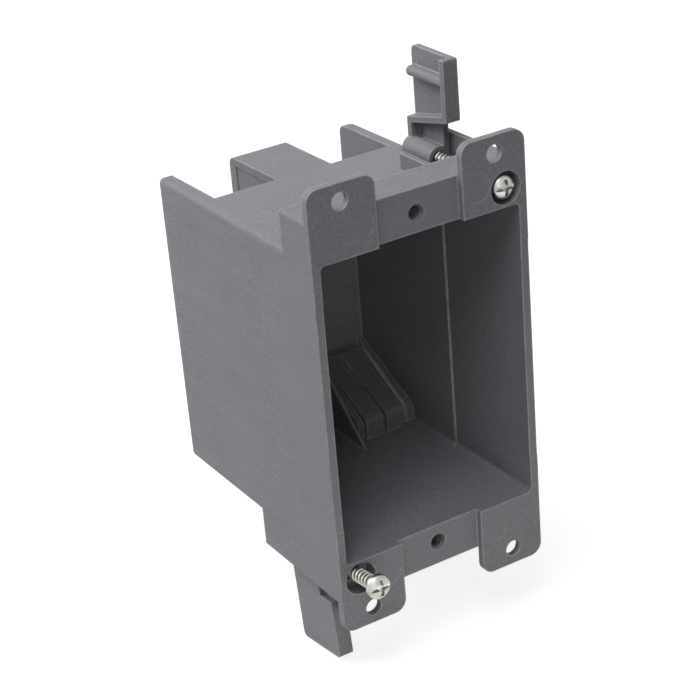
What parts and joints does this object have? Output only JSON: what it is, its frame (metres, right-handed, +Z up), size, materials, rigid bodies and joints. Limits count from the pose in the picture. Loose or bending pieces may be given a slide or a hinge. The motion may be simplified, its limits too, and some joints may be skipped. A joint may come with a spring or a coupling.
{
  "type": "cut-in wall box",
  "caption": "Single-gang cut-in electrical wall box of moulded plastic with four ears, swing clamps on long screws and cable tongues in the rear corners.",
  "frame": {"origin": "midway between the four ear holes and between the two device screw holes, on the plane where the backs of the ears rest on the wallboard", "axes": "+Z up and +X right as the box hangs in the wall seen from the front; -Y out of the wall, +Y into it"},
  "size_m": [0.0568, 0.0812, 0.1348],
  "materials": {
    "shell": "fine moulded",
    "wing": "fine moulded",
    "screw": "zinc plated"
  },
  "bodies": {
    "box": {"box_shell": "shell"},
    "upper_clamp": {"upper_clamp_wing": "wing", "upper_clamp_screw": "screw"},
    "lower_wing": {"lower_clamp_wing": "wing"},
    "lower_screw": {"lower_clamp_screw": "screw"}
  },
  "joints": [
    {"name": "upper_clamp_swing", "type": "hinge", "parent": "box", "child": "upper_clamp", "pos_m": [0.02285, 0.027, 0.04167], "axis": [0, 1, 0], "range_deg": [-90, 0]},
    {"name": "lower_wing_travel", "type": "slide", "parent": "box", "child": "lower_wing", "axis": [0, 0.9936, -0.1132], "range_m": [-0.0027, 0.002]},
    {"name": "lower_screw_turn", "type": "hinge", "parent": "box", "child": "lower_screw", "pos_m": [-0.02285, 0.0034, -0.04167], "axis": [0, 0.9936, -0.1132], "range_deg": [-590, 790]}
  ],
  "couplings": [
    {"joint": "lower_screw_turn", "follows": "lower_wing_travel", "rad_per_m": -4947.4}
  ]
}
